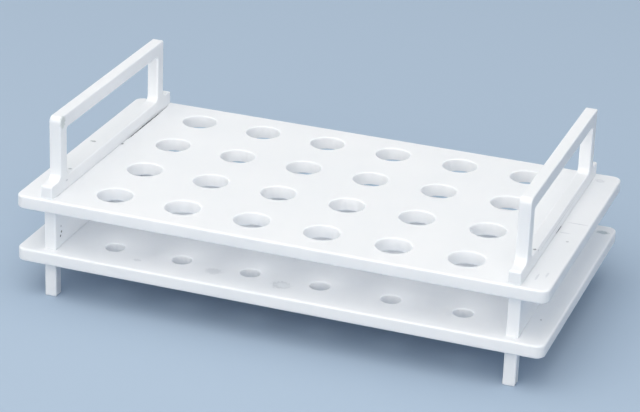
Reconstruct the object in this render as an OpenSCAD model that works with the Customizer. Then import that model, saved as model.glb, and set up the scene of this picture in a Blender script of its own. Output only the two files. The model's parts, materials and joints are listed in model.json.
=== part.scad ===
// Two-shelf rack for microcentrifuge tubes.
// Two drilled shelves of moulded polypropylene are carried by two flat end frames. Each frame is one
// moulding: a grip loop above the upper shelf, a rail that sits on that shelf, a wall that passes
// through it and spaces the shelves, and two legs that pass through the lower shelf to the bench.
// Millimetres. X runs along the rows, Y from front to back, Z up from the bench at the legs' feet.

/* [Tube places] */
// Rows of places, front to back
rows = 4; // [1:1:8]
// Places along each row
columns = 6; // [1:1:12]
// Distance between neighbouring places
pitch = 23; // [18:0.5:40]
// Outer diameter of a tube below its cap
tube_d = 10.8; // [8:0.1:14]
// Radial play of a tube in the upper shelf
tube_play = 0.25; // [0.1:0.05:0.45]
// Diameter of the holes that catch the tubes' tapered tips
tip_hole_d = 6.3; // [4:0.1:8]
// Radius of the softened rim of every hole
rim_r = 0.5; // [0.2:0.1:0.9]

/* [Shelves] */
// Thickness of each shelf
shelf_t = 4.3; // [3:0.1:7]
// Shelf beyond the centres of the front and back rows
front_margin = 12.8; // [10:0.1:30]
// Shelf beyond the frames' outer faces
end_overhang = 8.6; // [7:0.1:30]
// From the centres of the end columns to the frames' inner faces
column_margin = 16; // [10:0.1:40]
// Radius of the shelves' corners in plan
corner_r = 3; // [2:0.5:7]
// Radius of the shelves' long edges, top and bottom
edge_r = 0.6; // [0.3:0.1:1.4]
// Free height between the shelves
shelf_gap = 13.7; // [8:0.1:40]

/* [End frames] */
// Thickness of the flat frames
frame_t = 3.9; // [3:0.1:6]
// Clear height of the grip loop's top above the upper shelf
grip_rise = 25.1; // [20:0.1:50]
// Height of the rail that lies on the upper shelf
rail_h = 4.4; // [2:0.1:8]
// Width of the grip's two posts
post_w = 4.7; // [3:0.1:7]
// Height of the grip's top bar
bar_h = 4.6; // [3:0.1:8]
// From the shelves' long edges to the outer faces of the posts
post_inset = 7.1; // [5.5:0.1:12]
// From the shelves' long edges to the rail's ends
rail_inset = 0.8; // [0.1:0.1:1]
// From the shelves' long edges to the ends of the wall and the outer faces of the legs
wall_inset = 3; // [1.8:0.1:4]
// Clear height below the lower shelf
leg_h = 12; // [6:0.5:40]
// Width of each leg along the frame
leg_w = 3.9; // [3:0.1:8]

/* [Frame corners] */
// Fillet where the posts rise from the rail
root_fillet = 2; // [0.5:0.1:3]
// Fillet in the two upper corners of the grip's window
window_fillet = 1; // [0.3:0.1:3]
// Rounding of the grip's upper front corner
front_corner_r = 2; // [0.5:0.1:4.5]
// Rounding of the grip's upper back corner
back_corner_r = 0.8; // [0.3:0.1:4.5]

/* [Fits] */
// Play on each side of a frame in the slots of the shelves
slot_play = 0.25; // [0.1:0.05:0.5]

/* [Hidden] */
$fn = 96;
eps = 0.01; // overlap of shapes that are joined
over = 1; // reach of a cutter past the face that it cuts

tube_hole_d = tube_d + 2 * tube_play;

// heights of the shelves' faces and of the grip, from the bench up
lower_z = leg_h;
lower_top = lower_z + shelf_t;
upper_z = lower_top + shelf_gap;
upper_top = upper_z + shelf_t;
rail_top = upper_top + rail_h;
grip_top = upper_top + grip_rise;
window_top = grip_top - bar_h;

// distances from the middle of the rack, along X
frame_in = (columns - 1) * pitch / 2 + column_margin;
frame_out = frame_in + frame_t;
half_l = frame_out + end_overhang;

// distances from the middle of the rack, along Y
half_w = (rows - 1) * pitch / 2 + front_margin;
rail_end = half_w - rail_inset;
wall_end = half_w - wall_inset;
leg_in = wall_end - leg_w;
post_out = half_w - post_inset;
post_in = post_out - post_w;

// ---- shelves ----

// Half section of a shelf's rim: flat inside, rounded at both outer edges. x is measured outwards.
module rim_section(depth) {
    square([depth - edge_r, shelf_t]);
    translate([0, edge_r]) square([depth, shelf_t - 2 * edge_r]);
    for (y = [edge_r, shelf_t - edge_r])
        translate([depth - edge_r, y]) circle(edge_r);
}

// One straight side of a shelf: the rim section drawn out to a length, centred, facing +X.
module straight_side(length) {
    translate([0, length / 2, 0]) rotate([90, 0, 0])
        linear_extrude(length) rim_section(corner_r);
}

// A plain shelf blank with rounded corners and edges, its lower face on z = 0.
module shelf_blank() {
    inner_l = half_l - corner_r;
    inner_w = half_w - corner_r;
    translate([-inner_l, -inner_w, 0]) cube([2 * inner_l, 2 * inner_w, shelf_t]);
    for (side = [0, 180]) rotate(side) {
        translate([inner_l, 0, 0]) straight_side(2 * inner_w);
        translate([0, inner_w, 0]) rotate(90) straight_side(2 * inner_l);
        translate([inner_l, inner_w, 0])
            rotate_extrude(angle = 90) rim_section(corner_r);
        translate([-inner_l, inner_w, 0]) rotate(90)
            rotate_extrude(angle = 90) rim_section(corner_r);
    }
}

// Cutter for one hole through a shelf, flared by the rim's radius at both faces.
module hole_cutter(d) {
    r = d / 2;
    rotate_extrude() {
        translate([0, -over]) square([r, shelf_t + 2 * over]);
        for (face = [0, 1]) translate([0, face * shelf_t]) mirror([0, face]) difference() {
            translate([0, -over]) square([r + rim_r, over + rim_r]);
            translate([r + rim_r, rim_r]) circle(rim_r);
        }
    }
}

// Cutters for all places, on the grid that both shelves share.
module place_cutters(d) {
    for (column = [0 : columns - 1], row = [0 : rows - 1])
        translate([(column - (columns - 1) / 2) * pitch, (row - (rows - 1) / 2) * pitch, 0])
            hole_cutter(d);
}

// A slot through a shelf that takes the frame from y0 to y1, with play all round.
module slot_cutter(y0, y1) {
    translate([frame_in - slot_play, y0 - slot_play, -over])
        cube([frame_t + 2 * slot_play, y1 - y0 + 2 * slot_play, shelf_t + 2 * over]);
}

module upper_shelf() {
    color("white") translate([0, 0, upper_z]) difference() {
        shelf_blank();
        place_cutters(tube_hole_d);
        for (side = [0, 1]) mirror([side, 0, 0]) slot_cutter(-wall_end, wall_end);
    }
}

module lower_shelf() {
    color("white") translate([0, 0, lower_z]) difference() {
        shelf_blank();
        place_cutters(tip_hole_d);
        for (side = [0, 1], end = [0, 1]) mirror([side, 0, 0]) mirror([0, end, 0])
            slot_cutter(leg_in, wall_end);
    }
}

// ---- end frames ----

// Fills an inside corner at the origin, between +x and +y, with a concave fillet.
module corner_fillet(r) {
    difference() {
        translate([-eps, -eps]) square(r + eps);
        translate([r, r]) circle(r);
    }
}

// Takes the corner off a convex corner at the origin whose material lies towards +x and -y.
module corner_round(r) {
    difference() {
        translate([-over, -r]) square([over + r, over + r]);
        translate([r, -r]) circle(r);
    }
}

// Outline of a frame, seen along X: x here is the rack's Y, y here is its height.
module frame_outline() {
    difference() {
        union() {
            translate([-wall_end, lower_top]) square([2 * wall_end, upper_top - lower_top + eps]);
            translate([-rail_end, upper_top]) square([2 * rail_end, rail_h]);
            for (end = [0, 1]) mirror([end, 0]) {
                translate([leg_in, 0]) square([leg_w, lower_top + eps]);
                translate([post_in, rail_top - eps]) square([post_w, grip_top - rail_top + eps]);
                translate([post_out, rail_top]) corner_fillet(root_fillet);
                translate([post_in, rail_top]) mirror([1, 0]) corner_fillet(root_fillet);
                translate([post_in, window_top]) rotate(180) corner_fillet(window_fillet);
            }
            translate([-post_out, window_top]) square([2 * post_out, bar_h]);
        }
        translate([-post_out, grip_top]) corner_round(front_corner_r);
        translate([post_out, grip_top]) mirror([1, 0]) corner_round(back_corner_r);
    }
}

// A frame whose inner face lies on x = 0 and whose thickness runs to +x.
module end_frame() {
    rotate([90, 0, 90]) linear_extrude(frame_t) frame_outline();
}

module left_end_frame() {
    color("white") translate([-frame_out, 0, 0]) end_frame();
}

module right_end_frame() {
    color("white") translate([frame_in, 0, 0]) end_frame();
}

upper_shelf();
lower_shelf();
left_end_frame();
right_end_frame();
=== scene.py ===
"""A two-shelf rack for microcentrifuge tubes, moulded in white polypropylene, standing on a pale floor.

The two drilled shelves come first, in the order in which the frames are pushed through them, then the two
end frames, then the floor, the lamps and the camera. Sizes are in metres, written as millimetres times mm.
"""
import json
from math import cos, pi, radians, sin

import bmesh
import bpy
from mathutils import Matrix, Vector


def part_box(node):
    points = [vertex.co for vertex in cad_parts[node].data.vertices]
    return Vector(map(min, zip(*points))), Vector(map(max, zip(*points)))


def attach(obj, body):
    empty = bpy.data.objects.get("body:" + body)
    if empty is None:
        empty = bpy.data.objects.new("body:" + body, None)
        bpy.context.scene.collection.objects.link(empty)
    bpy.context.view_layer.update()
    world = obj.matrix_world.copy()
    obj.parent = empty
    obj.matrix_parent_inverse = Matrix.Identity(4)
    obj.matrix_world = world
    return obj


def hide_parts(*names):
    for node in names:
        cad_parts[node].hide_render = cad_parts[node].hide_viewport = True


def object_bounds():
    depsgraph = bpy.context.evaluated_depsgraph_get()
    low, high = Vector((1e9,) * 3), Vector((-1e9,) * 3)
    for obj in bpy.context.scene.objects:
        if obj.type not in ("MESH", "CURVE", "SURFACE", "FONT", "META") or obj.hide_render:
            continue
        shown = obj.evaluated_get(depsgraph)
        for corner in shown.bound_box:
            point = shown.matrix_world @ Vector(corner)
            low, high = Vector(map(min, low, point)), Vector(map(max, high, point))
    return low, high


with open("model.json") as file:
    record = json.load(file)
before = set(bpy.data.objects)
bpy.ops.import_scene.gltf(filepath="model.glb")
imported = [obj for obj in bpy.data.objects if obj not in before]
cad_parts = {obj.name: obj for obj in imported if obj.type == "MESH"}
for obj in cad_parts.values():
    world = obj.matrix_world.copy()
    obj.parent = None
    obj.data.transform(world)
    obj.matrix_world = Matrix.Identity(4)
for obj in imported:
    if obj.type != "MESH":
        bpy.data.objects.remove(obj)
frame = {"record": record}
cad_low, cad_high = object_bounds()
mm = 0.001


# ---- Lower shelf ----
# The real piece is a flat plate, injection-moulded in polypropylene, with rounded corners and edges. Its
# small holes catch the tapered tips of the tubes, and the frames' legs are pushed through its four slots.

shelf_corner = 3 * mm      # radius of the corners in plan
shelf_edge = 0.6 * mm      # radius of the long edges
tip_rim = 0.25 * mm        # softened rim of the small holes
slot_rim = 0.02 * mm       # softened rim of every slot
leg_w = 3.9 * mm           # width of a leg along the frame
leg_play = 0.08 * mm       # a leg fits its slot closely

bore_sides = 80            # flat faces that make up one hole
cell = 23 * mm             # distance between neighbouring holes
through = 5 * mm           # reach of a slot's cutter past the shelf
near = 0.01 * mm           # points this close are taken as one place
nearer = 0.001 * mm        # the same, where the softened rims lie close by


def alone(piece):
    """Leaves this piece as the only one selected, so that an operator acts on nothing else."""
    bpy.ops.object.select_all(action="DESELECT")
    piece.select_set(True)
    bpy.context.view_layer.objects.active = piece


def block(name, low, high):
    """Adds a cube stretched between two corners, with its place in its mesh."""
    low, high = Vector(low), Vector(high)
    bpy.ops.object.select_all(action="DESELECT")
    bpy.ops.mesh.primitive_cube_add(size=1, location=(low + high) / 2, scale=high - low)
    bpy.ops.object.transform_apply(location=True, rotation=True, scale=True)
    piece = bpy.context.object
    piece.name = name
    return piece


def pick(piece, kind, wanted):
    """Selects the vertices, edges or faces that wanted() picks, in a piece that is open in edit mode."""
    bpy.ops.mesh.select_mode(type=kind)
    bpy.ops.mesh.select_all(action="DESELECT")
    mesh = bmesh.from_edit_mesh(piece.data)
    for part in {"VERT": mesh.verts, "EDGE": mesh.edges, "FACE": mesh.faces}[kind]:
        part.select_set(wanted(part))
    bmesh.update_edit_mesh(piece.data)


def round_edges(piece, radius, steps, wanted):
    """Bevels the edges of a piece that wanted() picks."""
    alone(piece)
    bpy.ops.object.mode_set(mode="EDIT")
    pick(piece, "EDGE", wanted)
    bpy.ops.mesh.bevel(offset=radius, segments=steps, profile=0.5, affect="EDGES", clamp_overlap=False)
    bpy.ops.object.mode_set(mode="OBJECT")


def bisect(piece, cuts, normal):
    """Cuts the faces of a piece by a plane through each of the points."""
    alone(piece)
    bpy.ops.object.mode_set(mode="EDIT")
    for point in cuts:
        bpy.ops.mesh.select_all(action="SELECT")
        bpy.ops.mesh.bisect(plane_co=point, plane_no=normal)
    bpy.ops.object.mode_set(mode="OBJECT")


def cut_out(piece, cutters):
    """Takes the joined cutters out of a piece and throws them away."""
    alone(cutters[0])
    for cutter in cutters:
        cutter.select_set(True)
    bpy.ops.object.join()
    tool = bpy.context.object
    alone(piece)
    cut = piece.modifiers.new("cut", "BOOLEAN")
    cut.operation = "DIFFERENCE"
    cut.solver = "EXACT"
    cut.object = tool
    bpy.ops.object.modifier_apply(modifier=cut.name)
    bpy.data.objects.remove(tool)


def finished(piece):
    """Smooths the rounded edges and keeps the broad faces flat."""
    alone(piece)
    bpy.ops.object.shade_smooth_by_angle(angle=radians(40))
    level = piece.modifiers.new("flat faces", "WEIGHTED_NORMAL")
    level.keep_sharp = True
    bpy.ops.object.modifier_apply(modifier=level.name)


def same_height(edge, z):
    """Tells whether both ends of an edge lie at height z."""
    return all(abs(v.co.z - z) < nearer for v in edge.verts)


def moulded_shelf(name, node, mounts, rim, slots):
    """A drilled shelf in the place of a CAD node. Slots are pieces that cut it, made for this shelf."""
    low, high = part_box(node)
    shelf = block(name, low, high)
    half_thick = (high.z - low.z) / 2
    round_edges(shelf, shelf_corner, steps=12,
                wanted=lambda e: abs(e.verts[0].co.z - e.verts[1].co.z) > half_thick)
    round_edges(shelf, shelf_edge, steps=5,
                wanted=lambda e: same_height(e, low.z) or same_height(e, high.z))

    holes = [m for m in frame["record"]["mounts"] if m["name"].startswith(mounts)]
    columns = sorted({m["pos_m"][0] for m in holes})
    rows = sorted({m["pos_m"][1] for m in holes})
    between = [columns[0] - cell / 2] + [x + cell / 2 for x in columns]
    bisect(shelf, [(x, 0, 0) for x in between], (1, 0, 0))
    bisect(shelf, [(0, y + cell / 2, 0) for y in rows[:-1]], (0, 1, 0))

    cutters = list(slots)
    for hole in holes:
        bpy.ops.object.select_all(action="DESELECT")
        bpy.ops.mesh.primitive_cylinder_add(
            vertices=bore_sides,
            radius=hole["dims"]["r_mm"] * mm,
            depth=3 * (high.z - low.z),
            location=hole["pos_m"],
        )
        cutters.append(bpy.context.object)
    cut_out(shelf, cutters)

    reach = holes[0]["dims"]["r_mm"] * mm + near
    centres = [Vector(m["pos_m"][:2]) for m in holes]

    def on_face(edge):
        return same_height(edge, low.z) or same_height(edge, high.z)

    def on_hole(edge):
        middle = (edge.verts[0].co.xy + edge.verts[1].co.xy) / 2
        short = edge.calc_length() < reach / 6       # twice a side of the bore
        return on_face(edge) and short and any((middle - c).length < reach for c in centres)

    def on_slot(edge):
        return on_face(edge) and edge.is_manifold and edge.calc_face_angle() > radians(80)

    round_edges(shelf, rim, steps=4, wanted=on_hole)
    round_edges(shelf, slot_rim, steps=2, wanted=on_slot)
    finished(shelf)
    return shelf


left_low, left_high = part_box("left_end_frame")
right_low, right_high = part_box("right_end_frame")
lower_low, lower_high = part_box("lower_shelf")
feet = [m for m in frame["record"]["mounts"] if m["name"].endswith("foot")]

leg_slots = []
for foot in feet:
    x, y, _ = foot["pos_m"]
    half_x = (left_high.x - left_low.x) / 2 + leg_play
    half_y = leg_w / 2 + leg_play
    leg_slots.append(block("leg slot", (x - half_x, y - half_y, lower_low.z - through),
                           (x + half_x, y + half_y, lower_high.z + through)))

lower_shelf = moulded_shelf("moulded_lower_shelf", "lower_shelf", "tip_hole", tip_rim, leg_slots)


def linear(colour):
    """Turns an sRGB hex colour into the linear colour that a shader takes."""
    parts = [int(colour[i:i + 2], 16) / 255 for i in (1, 3, 5)]
    return (*(c / 12.92 if c <= 0.04045 else ((c + 0.055) / 1.055) ** 2.4 for c in parts), 1.0)


def add_node(tree, kind, settings, inputs):
    """Adds a node. Settings are its own choices, and inputs are values or the sockets that feed it."""
    made = tree.nodes.new("ShaderNode" + kind)
    for key, value in settings.items():
        setattr(made, key, value)
    for key, value in inputs.items():
        if isinstance(value, bpy.types.NodeSocket):
            tree.links.new(value, made.inputs[key])
        else:
            made.inputs[key].default_value = value
    return made


def polypropylene(name, marks):
    """Injection-moulded white polypropylene, satin from a finely blasted tool.

    It is a milky, slightly translucent white with a soft broad sheen. The moulding leaves a faint peel and
    slow waves where the plate shrank, and the tool's ejector pins and use leave small grey marks. Dark marks
    in the open joints are painted shade.
    """
    material = bpy.data.materials.new(name)
    material.use_nodes = True
    tree = material.node_tree
    tree.nodes.clear()
    place = add_node(tree, "TexCoord", {}, {}).outputs["Object"]

    cloud_size = 24 * mm       # patches where the melt cooled at another rate
    grain_size = 0.7 * mm      # raggedness of the marks' outlines
    rub_size = 5 * mm          # patches that use has rubbed smoother
    wave_size = 30 * mm        # shrinkage waves of the plate
    peel_size = 1.1 * mm       # peel of the tool's surface, drawn a little coarser than it is
    clouds = add_node(tree, "TexNoise", {}, {"Vector": place, "Scale": 1 / cloud_size, "Detail": 2.0})
    white = add_node(tree, "Mix", {"data_type": "RGBA"}, {
        "Factor": clouds.outputs["Fac"],
        "A": linear("#F5F7F9"),
        "B": linear("#FEFEFF"),
    })
    colour = white.outputs["Result"]
    grain = add_node(tree, "TexNoise", {}, {"Vector": place, "Scale": 1 / grain_size, "Detail": 1.0})
    for spot, half_sizes, shade, depth in marks:
        away = add_node(tree, "VectorMath", {"operation": "SUBTRACT"}, {0: place, 1: Vector(spot) * mm})
        scaled = add_node(tree, "VectorMath", {"operation": "DIVIDE"}, {
            0: away.outputs[0],
            1: Vector(half_sizes) * mm,
        })
        reach = add_node(tree, "VectorMath", {"operation": "LENGTH"}, {0: scaled.outputs[0]})
        ragged = add_node(tree, "Math", {"operation": "ADD"}, {
            0: reach.outputs["Value"],
            1: grain.outputs["Fac"],
        })
        inside = add_node(tree, "MapRange", {"interpolation_type": "SMOOTHSTEP"}, {
            "Value": ragged.outputs[0],
            "From Min": 1.6,
            "From Max": 1.0,
            "To Min": 0.0,
            "To Max": depth,
        })
        marked = add_node(tree, "Mix", {"data_type": "RGBA"}, {
            "Factor": inside.outputs["Result"],
            "A": colour,
            "B": linear(shade),
        })
        colour = marked.outputs["Result"]

    rubbed = add_node(tree, "TexNoise", {}, {"Vector": place, "Scale": 1 / rub_size, "Detail": 3.0})
    roughness = add_node(tree, "MapRange", {}, {
        "Value": rubbed.outputs["Fac"],
        "To Min": 0.44,
        "To Max": 0.58,
    })
    waves = add_node(tree, "TexNoise", {}, {"Vector": place, "Scale": 1 / wave_size, "Detail": 0.0})
    peel = add_node(tree, "TexNoise", {}, {"Vector": place, "Scale": 1 / peel_size, "Detail": 1.0})
    waved = add_node(tree, "Bump", {}, {
        "Height": waves.outputs["Fac"],
        "Strength": 0.35,
        "Distance": 0.5 * mm,
    })
    peeled = add_node(tree, "Bump", {}, {
        "Height": peel.outputs["Fac"],
        "Strength": 0.12,
        "Distance": 0.05 * mm,
        "Normal": waved.outputs["Normal"],
    })
    shader = add_node(tree, "BsdfPrincipled", {"subsurface_method": "BURLEY"}, {
        "Base Color": colour,
        "Roughness": roughness.outputs["Result"],
        "IOR": 1.49,
        "Subsurface Weight": 1.0,
        "Subsurface Radius": (1.0, 0.95, 0.9),
        "Subsurface Scale": 1.3 * mm,
        "Normal": peeled.outputs["Normal"],
    })
    add_node(tree, "OutputMaterial", {}, {"Surface": shader.outputs["BSDF"]})
    return material


lower_marks = (                       # place, half sizes, colour and depth of each mark, in millimetres
    ((82.3, 41.6, 16.3), (2.3, 1.5, 0.6), "#8FA3A8", 0.6),       # ring left by an ejector pin
    ((82.3, 41.9, 16.3), (1.3, 0.7, 0.6), "#D5DCE0", 0.6),
    ((80.4, -29.6, 16.3), (0.4, 0.4, 0.5), "#6A7178", 0.6),      # specks
    ((-47.3, -40.4, 16.3), (1.6, 0.9, 0.5), "#B4B8BE", 0.3),
    ((-22.6, -38.1, 16.3), (3.2, 2.4, 0.5), "#B4B7BC", 0.3),     # rubbed smears
    ((0.4, -39.0, 16.3), (3.4, 2.9, 0.5), "#9CA0A6", 0.35),
    ((0.8, -38.8, 16.3), (2.7, 2.1, 0.5), "#F4F6F8", 0.9),
)
lower_shelf.data.materials.clear()
lower_shelf.data.materials.append(polypropylene("moulded polypropylene, lower shelf", lower_marks))
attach(lower_shelf, "root")
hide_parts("lower_shelf")


# ---- Upper shelf ----
# The same plate again, moulded in polypropylene with one large hole over each small one. It hangs on the
# frames' walls, which pass through its two long slots, and the frames' rails lie on it.

upper_low, upper_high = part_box("upper_shelf")
tube_rim = 0.3 * mm                   # softened rim of the large holes
wall_end = cad_high.y - 3 * mm        # the ends of the walls, along Y
hair = 0.02 * mm                      # play of a wall in its slot, where it fits closely

# How far the slots stand open along their +X sides: share of the length from the front, and the gap in mm.
left_gap = ((0, 0.02), (0.5, 0.04), (0.6, 0.08), (0.63, 0.5), (0.9, 0.55), (1, 0.3))
right_gap = ((0, 0.01), (0.43, 0.02), (0.46, 0.15), (0.5, 0.15), (0.53, 0.02), (1, 0.03))


def wall_slot(low_x, high_x, gap):
    """Cutter for a wall's slot. Its +X side is drawn out to the gap, which changes along the slot."""
    cutter = block("wall slot", (low_x - hair, -wall_end - hair, upper_low.z - through),
                   (high_x, wall_end + hair, upper_high.z + through))
    bisect(cutter, [(0, wall_end * (2 * share - 1), 0) for share, _ in gap[1:-1]], (0, 1, 0))
    bpy.ops.object.mode_set(mode="EDIT")
    for share, opening in gap:
        half_length = wall_end + hair if share in (0, 1) else wall_end
        y = half_length * (2 * share - 1)
        pick(cutter, "VERT", lambda v: v.co.x > high_x - nearer and abs(v.co.y - y) < near)
        bpy.ops.transform.translate(value=(opening * mm, 0, 0))
    bpy.ops.object.mode_set(mode="OBJECT")
    return cutter


wall_slots = [
    wall_slot(left_low.x, left_high.x, left_gap),
    wall_slot(right_low.x, right_high.x, right_gap),
]
upper_shelf = moulded_shelf("moulded_upper_shelf", "upper_shelf", "tube_hole", tube_rim, wall_slots)
upper_marks = (
    ((79.9, 41.3, 34.3), (1.9, 1.5, 0.6), "#B9BDC3", 0.35),      # ring left by an ejector pin
    ((79.9, 41.4, 34.3), (1.1, 0.8, 0.6), "#F3F4F6", 0.8),
    ((-73.1, 5.5, 34.3), (0.6, 0.7, 0.5), "#5A5E64", 0.8),       # specks
    ((82.1, -9.9, 34.3), (0.6, 0.6, 0.5), "#969BA2", 0.45),
    ((-82.7, 3.4, 34.3), (1.3, 0.7, 0.5), "#858D90", 0.6),
    ((82.2, 4.5, 34.3), (3.9, 0.35, 0.5), "#BFC2C9", 0.5),       # thin grey lines and streaks
    ((79.7, -3.8, 34.3), (2.3, 0.4, 0.5), "#CBCED4", 0.4),
    ((80.2, -38.2, 34.3), (0.4, 3.0, 0.5), "#C8CBD1", 0.4),
    ((82.6, -35.8, 34.3), (0.4, 2.2, 0.5), "#CDD0D6", 0.4),
)
upper_shelf.data.materials.clear()
upper_shelf.data.materials.append(polypropylene("moulded polypropylene, upper shelf", upper_marks))
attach(upper_shelf, "root")
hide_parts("upper_shelf")


# ---- End frames ----
# Each real frame is one flat moulding of the same polypropylene: a grip loop, a rail that lies on the upper
# shelf, a wall between the shelves and two legs. Both come from one tool, so the rounded corner is in front.

rail_h = 4.4 * mm
rail_end = left_high.y
post_out = cad_high.y - 7.1 * mm      # outer faces of the grip's posts
post_in = post_out - 4.7 * mm         # inner faces
leg_in = wall_end - leg_w
rail_top = upper_high.z + rail_h
grip_top = left_high.z
window_top = grip_top - 4.6 * mm
frame_edge = 0.4 * mm                 # all round the moulding

corners = (                           # (Y, Z) of a corner, and its radius
    (-post_out, rail_top, 2 * mm),
    (post_out, rail_top, 2 * mm),
    (-post_in, rail_top, 2 * mm),
    (post_in, rail_top, 2 * mm),
    (-post_in, window_top, 1 * mm),
    (post_in, window_top, 1 * mm),
    (-post_out, grip_top, 2 * mm),
    (post_out, grip_top, 0.8 * mm),
    (-rail_end, rail_top, 0.7 * mm),
    (rail_end, rail_top, 0.7 * mm),
)


def in_outline(y, z):
    """Tells whether a point seen along X lies in the frame's outline."""
    y = abs(y)
    if z < lower_high.z:
        return leg_in < y < wall_end
    if z < upper_high.z:
        return y < wall_end
    if z < rail_top:
        return y < rail_end
    return y < post_out and (y > post_in or z > window_top)


bpy.ops.object.select_all(action="DESELECT")
bpy.ops.mesh.primitive_plane_add(
    size=1,
    location=(left_low.x, 0, grip_top / 2),
    rotation=(pi / 2, 0, pi / 2),
)
left_frame = bpy.context.object
left_frame.name = "moulded_left_end_frame"
left_frame.scale = (2 * rail_end, grip_top, 1)
bpy.ops.object.transform_apply(location=True, rotation=True, scale=True)
sides = (leg_in, wall_end, post_in, post_out)
bisect(left_frame, [(0, 0, 0)] + [(0, side * y, 0) for y in sides for side in (-1, 1)], (0, 1, 0))
bisect(left_frame, [(0, 0, z) for z in (lower_high.z, upper_high.z, rail_top, window_top)], (0, 0, 1))

bpy.ops.object.mode_set(mode="EDIT")
pick(left_frame, "FACE", lambda face: not in_outline(*face.calc_center_median().yz))
bpy.ops.mesh.delete(type="FACE")

# The cells are joined into a front and a back half, so that no seam but the middle one meets the outline.
pick(left_frame, "EDGE", lambda edge: not edge.is_boundary and any(abs(v.co.y) >= near for v in edge.verts))
bpy.ops.mesh.dissolve_edges(use_verts=False)
pick(left_frame, "VERT", lambda v: len(v.link_edges) == 2 and v.calc_edge_angle() < radians(1))
bpy.ops.mesh.dissolve_verts()

bpy.ops.mesh.select_mode(type="FACE")
bpy.ops.mesh.select_all(action="SELECT")
bpy.ops.mesh.extrude_region_move(TRANSFORM_OT_translate={"value": (left_high.x - left_low.x, 0, 0)})
bpy.ops.mesh.select_all(action="SELECT")
bpy.ops.mesh.normals_make_consistent(inside=False)
bpy.ops.object.mode_set(mode="OBJECT")

for y, z, radius in corners:
    round_edges(left_frame, radius, steps=8,
                wanted=lambda e: all((v.co.yz - Vector((y, z))).length < near for v in e.verts))
round_edges(left_frame, frame_edge, steps=3,
            wanted=lambda e: e.is_manifold and e.calc_face_angle() > radians(60))
finished(left_frame)

alone(left_frame)
bpy.ops.object.duplicate(linked=False)
right_frame = bpy.context.object
right_frame.name = "moulded_right_end_frame"
bpy.ops.transform.translate(value=(right_low.x - left_low.x, 0, 0))
bpy.ops.object.transform_apply(location=True, rotation=True, scale=True)

left_marks_and_painted_shade = (
    ((-73.5, -38.4, 57.6), (1, 2.0, 2.6), "#B3BEB6", 0.45),      # grey-green patch in the inner corner of the grip's window
    ((-74.9, -30.6, 38.7), (0.7, 0.7, 0.5), "#A2A7AD", 0.6),     # specks at the foot of the post
    ((-73.5, -35.8, 37.1), (0.5, 0.9, 0.4), "#B4BAC0", 0.5),
    ((-73.5, -40.4, 23.1), (0.4, 0.35, 0.35), "#5C6268", 0.7),   # three dots in a row on the wall
    ((-73.5, -40.1, 21.1), (0.4, 0.5, 0.5), "#26292E", 0.95),
    ((-73.5, -40.8, 19.9), (0.4, 0.45, 0.45), "#26292E", 0.95),
    ((-73.5, 25, 33.5), (0.5, 18, 0.75), "#24272B", 0.95),       # painted shade down in the open joint, on the wall face seen through the gap
)
right_marks_and_painted_shade = (
    ((76.7, -29.0, 38.7), (0.6, 0.6, 0.5), "#5A6068", 0.7),      # specks
    ((77.4, -27.2, 37.7), (0.5, 0.6, 0.4), "#A2A8B0", 0.5),
    ((77.4, -4, 36.6), (0.4, 26, 0.25), "#C6CBD1", 0.4),         # long streaks along the rail
    ((77.4, 9, 37.7), (0.4, 20, 0.2), "#C6CBD1", 0.35),
    ((77.4, -2, 34.2), (0.4, 4, 0.4), "#4A4F55", 0.8),           # painted shade in the joint, where the slot stands open
)
for piece, node, marks in (
    (left_frame, "left_end_frame", left_marks_and_painted_shade),
    (right_frame, "right_end_frame", right_marks_and_painted_shade),
):
    piece.data.materials.clear()
    piece.data.materials.append(polypropylene("moulded polypropylene, " + node.replace("_", " "), marks))
    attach(piece, "root")
    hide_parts(node)


# ---- Floor ----
# A wide sheet of pale blue-grey paper, matt, that the rack stands on. It isn't part of the rack. The light
# that it sends back up is greyer than the paper looks, so the white plastic doesn't turn blue.

floor_size = 12                       # metres, so that its edges are out of sight


def in_sight(tree):
    """Gives 1 where the backdrop is looked at, also in a mirror or through glass, and 0 where it lights."""
    ray = add_node(tree, "LightPath", {}, {})
    shiny = add_node(tree, "Math", {"operation": "MAXIMUM"}, {
        0: ray.outputs["Is Glossy Ray"],
        1: ray.outputs["Is Transmission Ray"],
    })
    seen = add_node(tree, "Math", {"operation": "MAXIMUM"}, {
        0: ray.outputs["Is Camera Ray"],
        1: shiny.outputs[0],
    })
    return seen.outputs[0]


bpy.ops.object.select_all(action="DESELECT")
bpy.ops.mesh.primitive_plane_add(size=floor_size, location=(0, 0, cad_low.z))
floor = bpy.context.object
floor.name = "floor"
bpy.ops.object.transform_apply(location=True, rotation=True, scale=True)
paper = bpy.data.materials.new("matt paper")
paper.use_nodes = True
paper.node_tree.nodes.clear()
sheet_colour = add_node(paper.node_tree, "Mix", {"data_type": "RGBA"}, {
    "Factor": in_sight(paper.node_tree),
    "A": linear("#8095AB"),
    "B": linear("#B4C6D9"),
})
sheet_shader = add_node(paper.node_tree, "BsdfPrincipled", {}, {
    "Base Color": sheet_colour.outputs["Result"],
    "Roughness": 0.9,
    "Specular IOR Level": 0.1,
})
add_node(paper.node_tree, "OutputMaterial", {}, {"Surface": sheet_shader.outputs["BSDF"]})
floor.data.materials.append(paper)


# ---- Light ----
# Plain studio light. A large soft box hangs almost overhead, a little to the front, and a wide one stands
# low in front. The room is bright in front and overhead, dimmer on the right, and darker behind.

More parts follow.
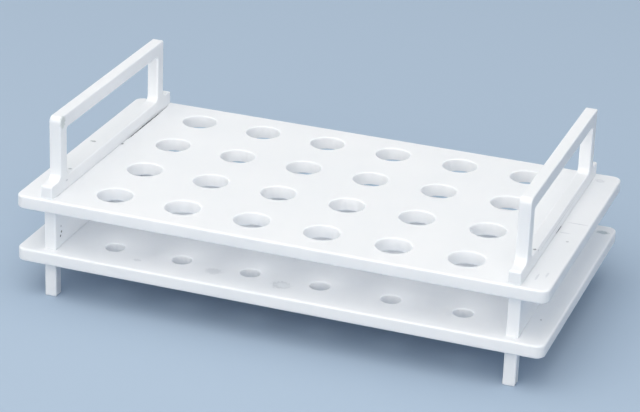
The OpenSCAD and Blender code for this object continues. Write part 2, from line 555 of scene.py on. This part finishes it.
room = bpy.data.worlds.new("room")
bpy.context.scene.world = room
room.use_nodes = True
walls = room.node_tree
walls.nodes.clear()
here = add_node(walls, "TexCoord", {}, {}).outputs["Generated"]
direction = add_node(walls, "SeparateXYZ", {}, {"Vector": here})
to_right = add_node(walls, "MapRange", {"interpolation_type": "SMOOTHSTEP"}, {
    "Value": direction.outputs["X"],
    "From Min": 0.2,
    "From Max": 0.8,
})
side_wall = add_node(walls, "Mix", {"data_type": "RGBA"}, {
    "Factor": to_right.outputs["Result"],
    "A": linear("#F6F6F5"),
    "B": linear("#D6DDE5"),
})
behind = add_node(walls, "MapRange", {"interpolation_type": "SMOOTHSTEP"}, {
    "Value": direction.outputs["Y"],
    "From Min": -0.1,
    "From Max": 0.6,
})
low_wall = add_node(walls, "Mix", {"data_type": "RGBA"}, {
    "Factor": behind.outputs["Result"],
    "A": side_wall.outputs["Result"],
    "B": linear("#8E99A5"),
})
overhead = add_node(walls, "MapRange", {"interpolation_type": "SMOOTHSTEP"}, {
    "Value": direction.outputs["Z"],
    "From Min": 0.35,
    "From Max": 0.8,
})
lit_wall = add_node(walls, "Mix", {"data_type": "RGBA"}, {
    "Factor": overhead.outputs["Result"],
    "A": low_wall.outputs["Result"],
    "B": linear("#D8D9DA"),
})
wall_colour = add_node(walls, "Mix", {"data_type": "RGBA"}, {
    "Factor": in_sight(walls),
    "A": lit_wall.outputs["Result"],
    "B": linear("#BCCCDC"),
})
wall_light = add_node(walls, "Background", {}, {"Color": wall_colour.outputs["Result"], "Strength": 1.0})
add_node(walls, "OutputWorld", {}, {"Surface": wall_light.outputs["Background"]})


def soft_lamp(name, place, size, power, colour):
    """A square soft box at a place, turned towards the rack."""
    bpy.ops.object.select_all(action="DESELECT")
    bpy.ops.object.light_add(type="AREA", location=place)
    lamp = bpy.context.object
    lamp.name = name
    lamp.rotation_euler = Vector(place).to_track_quat("Z", "Y").to_euler()
    lamp.data.size = size
    lamp.data.energy = power
    lamp.data.color = linear(colour)[:3]


soft_lamp("key box", (-0.08, -0.4, 1.1), 0.95, 3.9, "#FFFEFB")
soft_lamp("front box", (0.15, -1.05, 0.5), 1.0, 3.2, "#FFFAF2")


# ---- Camera ----
# It stands in front of the rack, a little to the right, and looks down on it through a long lens.

azimuth = radians(19.0)
elevation = radians(23.5)
roll = radians(2.24)
distance = 742 * mm
aim = Vector((0.8, -6.4, 30)) * mm

back = Vector((sin(azimuth) * cos(elevation), -cos(azimuth) * cos(elevation), sin(elevation)))
level = Vector((cos(azimuth), sin(azimuth), 0))
upright = back.cross(level)
right = cos(roll) * level + sin(roll) * upright
up = cos(roll) * upright - sin(roll) * level
bpy.ops.object.select_all(action="DESELECT")
bpy.ops.object.camera_add()
camera = bpy.context.object
turned = Matrix((right, up, back)).transposed().to_4x4()
camera.matrix_world = Matrix.Translation(aim + back * distance) @ turned
camera.data.sensor_width = 36
camera.data.lens = 131.6
camera.data.clip_start = 10 * mm
bpy.context.scene.camera = camera
bpy.context.scene.view_settings.view_transform = "Standard"
bpy.context.scene.cycles.diffuse_bounces = 12     # light passes many times between the two white shelves
